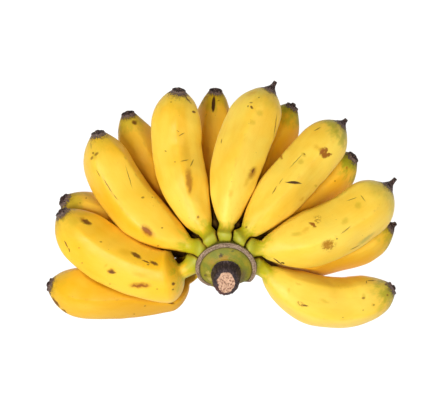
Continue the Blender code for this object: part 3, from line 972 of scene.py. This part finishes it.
def crown_points():
    """The crown's fine rings of points, cut face first, and what its material reads at each of them."""
    profile = crown_profile()
    angles = np.arange(CROWN_SIDES) * 2.0 * math.pi / CROWN_SIDES
    azimuth = np.degrees(angles)
    azimuth = np.where(azimuth > 270.0, azimuth - 360.0, azimuth)[None]
    radius = np.repeat(profile[:, :1], CROWN_SIDES, axis=1)
    height = np.repeat(profile[:, 1:], CROWN_SIDES, axis=1)
    run = np.concatenate([[0.0], np.cumsum(np.linalg.norm(np.diff(profile, axis=0), axis=1))])[:, None]

    scar_there = between((SCAR_FROM - SCAR_FADE, SCAR_FROM), (SCAR_TO, SCAR_TO + SCAR_FADE), azimuth)
    across_scar = np.abs(radius - SCAR_MIDDLE) / SCAR_HALF_WIDTH
    top_side = height > -0.9
    cork = np.clip(1.0 - across_scar ** 4, 0.0, 1.0) * top_side * scar_there
    stub = smoothstep(7.0, 8.2, height) * (radius < STUB_RADIUS + 1.5)
    ragged = waves(6, angles[None], run * 0.0, 8, 9, 12.0, 4.0)
    face = round_axis(radius, angles[None], 0.0)
    from_face = np.hypot(face[..., 0] / FACE_NARROWED, face[..., 1] - FACE_OFF_CENTRE)
    cut_face = 1.0 - smoothstep(FACE_RADIUS - 0.3, FACE_RADIUS + 0.3, from_face + 0.35 * ragged)
    cut_face = cut_face * (height > STUB_LENGTH - 1.5)
    under = smoothstep(2.0 - CROWN_DEPTH, -CROWN_DEPTH, height)

    lumps = waves(7, angles[None], run, 12, 5, 40.0, 12.0)
    fine = waves(8, angles[None], run, 16, 19, 10.0, 2.5)
    strands = waves(9, angles[None], run * 0.1, 12, 26, 12.0, 4.0)
    radius_out = radius + CROWN_LUMPS * lumps * smoothstep(0.0, 8.0, radius)
    radius_out = radius_out + stub * (1.0 - cut_face) * (STUB_STRANDS * strands + 0.5 * CROWN_FINE * fine)
    height_out = height + cork * (SCAR_RISE + CROWN_FINE * fine + CORK_STRANDS * strands)
    height_out = height_out + cut_face * CROWN_FINE * fine
    height_out = height_out + 0.6 * CROWN_LUMPS * lumps * (radius > STUB_RADIUS + 1.0)

    share = np.clip((height_out - SLANTED_ABOVE) / (STUB_LENGTH - SLANTED_ABOVE), 0.0, None)
    height_out = height_out - math.tan(CUT_SLANT) * share * radius_out * np.sin(angles)[None]

    scale = np.where(height < 5.0, open_side_scale(angles)[None], 1.0)
    right_end = between(CUT_BACK_RISE, CUT_BACK_FALL, azimuth)
    scale = scale - CUT_BACK * right_end * smoothstep(14.0, 18.0, radius) * smoothstep(-16.0, -2.0, height)
    radius_out = radius_out * scale

    outward = np.cos(angles)[:, None] * ACROSS + np.sin(angles)[:, None] * UPHILL
    points = CROWN_CENTRE + radius_out[..., None] * outward[None] + height_out[..., None] * AXIS
    fields = {
        "place": round_axis(np.maximum(radius, 3.0), angles[None], run),
        "around": round_axis(20.0, angles[None], radius),
        "face": face,
        "cork": cork,
        "scar_edge": np.exp(-((across_scar - 1.08) / 0.22) ** 2) * top_side * scar_there,
        "stub": stub,
        "cut_face": cut_face,
        "under": under,
        "radius": radius,
    }
    return points, fields


def crown_material():
    """Green crown with a corky scar, a dark dried stub of stalk and its pale fibrous cut face."""
    shader = Shader("crown_skin")
    mix, step, times, noise = shader.mix, shader.step, shader.times, shader.noise
    place, around, face = (shader.attribute(field, "Vector") for field in ("place", "around", "face"))
    cork, edge, stub, cut_face, under, radius = (
        shader.attribute(field) for field in ("cork", "scar_edge", "stub", "cut_face", "under", "radius"))

    patches = noise(place, 0.13, 4.0, 0.6)
    fine = noise(place, 0.9, 4.0, 0.65)
    colour = mix(step(patches, 0.38, 0.62), CROWN_OLIVE, CROWN_GOLD)
    colour = mix(step(fine, 0.5, 0.75, 0.0, 0.4), colour, CROWN_DUSK)

    axes = shader.node("SeparateXYZ", {0: around})
    uphill_side = step(axes.outputs["Y"], 2.0, 14.0)
    right_side = step(axes.outputs["X"], -2.0, 12.0)
    close_in = step(radius, 17.5, 13.0)
    rust = times(uphill_side, close_in, step(patches, 0.40, 0.60))
    colour = mix(times(rust, 0.75), colour, CROWN_RUST)
    greyish = times(right_side, close_in, step(axes.outputs["Y"], 8.0, -4.0))
    colour = mix(times(greyish, 0.7), colour, CROWN_GREY)
    for x, y, size, tint in CROWN_SPOTS:
        away = shader.vector("DISTANCE", face, (x, y, 0.0))
        away = shader.math("ADD", away, step(fine, 0.3, 0.7, -0.8, 0.8))
        colour = mix(step(away, size, 0.4 * size, 0.0, 0.9), colour, tint)
    # Painted shadow of the raised cork ring on the disc just inside it.
    painted_ring_shadow = step(radius, SCAR_MIDDLE - 4.0, SCAR_MIDDLE - 1.5, 0.0, 0.45)
    colour = mix(painted_ring_shadow, colour, RING_PAINTED_SHADOW)

    colour = mix(times(edge, 0.85), colour, SCAR_OUTLINE)
    stretched = shader.vector("MULTIPLY", around, (0.25, 0.25, 2.2))
    strands = noise(stretched, 0.9, 5.0, 0.7)
    cork_colour = mix(step(strands, 0.40, 0.60), CORK_BROWN, CORK_TAN)
    grains = noise(place, 1.7, 3.0, 0.7)
    cork_colour = mix(step(grains, 0.53, 0.62, 0.0, 0.80), cork_colour, CORK_PIT)
    cork_colour = mix(step(grains, 0.46, 0.38, 0.0, 0.80), cork_colour, CORK_PALE)
    colour = mix(step(cork, 0.15, 0.55), colour, cork_colour)

    stub_strands = noise(shader.drawn_out(place, 0.10), 0.8, 5.0, 0.7)
    stub_colour = mix(step(stub_strands, 0.45, 0.80), STUB_DARK, STUB_STRAND)
    low_left = times(step(axes.outputs["Y"], 0.0, -12.0), step(axes.outputs["X"], 6.0, -8.0), 0.65)
    stub_colour = mix(low_left, stub_colour, STUB_RED)
    colour = mix(step(stub, 0.2, 0.8), colour, stub_colour)

    bundles = shader.cells(face, 0.62)
    tan = mix(step(bundles, 0.12, 0.62), CUT_BROWN, CUT_TAN)
    specks = step(noise(face, 0.75, 3.0, 0.75), 0.52, 0.60, 0.0, 0.85)
    tan = mix(specks, tan, CUT_SPECK)
    colour = mix(step(cut_face, 0.3, 0.8), colour, tan)

    colour = mix(under, colour, UNDER_TAN)

    roughness = step(fine, 0.3, 0.8, 0.50, 0.72)
    roughness = shader.math("ADD", roughness, times(cork, 0.2), clamp=True)
    normal = shader.bump(fine, 0.0005, 0.6)
    normal = shader.bump(times(strands, cork), 0.0012, 0.9, normal)
    normal = shader.bump(times(stub_strands, stub), 0.0010, 0.8, normal)
    normal = shader.bump(times(specks, cut_face), 0.0007, -0.8, normal)
    shader.set_surface(
        {"Base Color": colour, "Roughness": roughness, "Normal": normal, "Metallic": 0.0, "IOR": 1.45})
    return shader.material


def make_crown():
    """The crown with its scar and the stub of the stalk, in place of its plain solid."""
    points, fields = crown_points()
    mesh = surface_mesh("crown_stalk_skin", points, fields)
    piece = add_object("crown_stalk_skin", mesh)
    mesh.materials.append(crown_material())
    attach(piece, "root")
    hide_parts("crown_stalk")


# Floor and lights: metres. Each light: its name, place, size and power in watts.
FLOOR_HALF = 2.5
LIGHT_ALL_ROUND = 0.15
LIGHTS = [
    ("key", (-0.50, -0.42, 1.08), 0.6, 15.5),
    ("fill", (0.70, -0.20, 1.05), 0.9, 6.0),
]
LIGHTS_AIM = (0.0, 0.0, 0.04)


def make_floor():
    """A plain pale floor, bright as in a light tent."""
    mesh = bpy.data.meshes.new("floor")
    corners = [(x * FLOOR_HALF, y * FLOOR_HALF, 0.0) for x, y in [(-1, -1), (1, -1), (1, 1), (-1, 1)]]
    mesh.from_pydata(corners, [], [(0, 1, 2, 3)])
    floor = add_object("floor", mesh)
    shader = Shader("floor_white")
    shader.set_surface({"Base Color": (0.1, 0.1, 0.1), "Roughness": 0.8})
    shader.set_surface({"Emission Color": (1.0, 1.0, 1.0), "Emission Strength": 1.0})
    mesh.materials.append(shader.material)


def make_light():
    """Soft white light from all round, a large soft light high on the left and a fainter one on the right."""
    world = bpy.data.worlds.new("studio")
    bpy.context.scene.world = world
    world.use_nodes = True
    background = world.node_tree.nodes["Background"]
    background.inputs["Color"].default_value = (1.0, 1.0, 1.0, 1.0)
    background.inputs["Strength"].default_value = LIGHT_ALL_ROUND
    for name, place, size, power in LIGHTS:
        light = bpy.data.lights.new(name, "AREA")
        light.shape = "SQUARE"
        light.size = size
        light.energy = power
        lamp = add_object(name, light)
        lamp.location = place
        lamp.rotation_mode = "QUATERNION"
        lamp.rotation_quaternion = (Vector(LIGHTS_AIM) - Vector(place)).to_track_quat("-Z", "Y")
    bpy.context.scene.view_settings.view_transform = "Standard"


def make_camera():
    """The camera at the photograph's viewing angle and framing."""
    data = bpy.data.cameras.new("camera")
    data.sensor_width = SENSOR_WIDTH
    data.lens = SENSOR_WIDTH * FOCAL_PIXELS / PHOTO_WIDTH
    data.clip_start = 0.05
    data.clip_end = 20.0
    camera = add_object("camera", data)
    camera.location = Vector(VIEW_POINT) * MM
    camera.rotation_mode = "QUATERNION"
    camera.rotation_quaternion = CAMERA_TURN.to_quaternion()
    bpy.context.scene.camera = camera


make_camera()
make_light()
make_floor()
make_crown()
for finger_name in FINGERS:
    make_finger(finger_name)
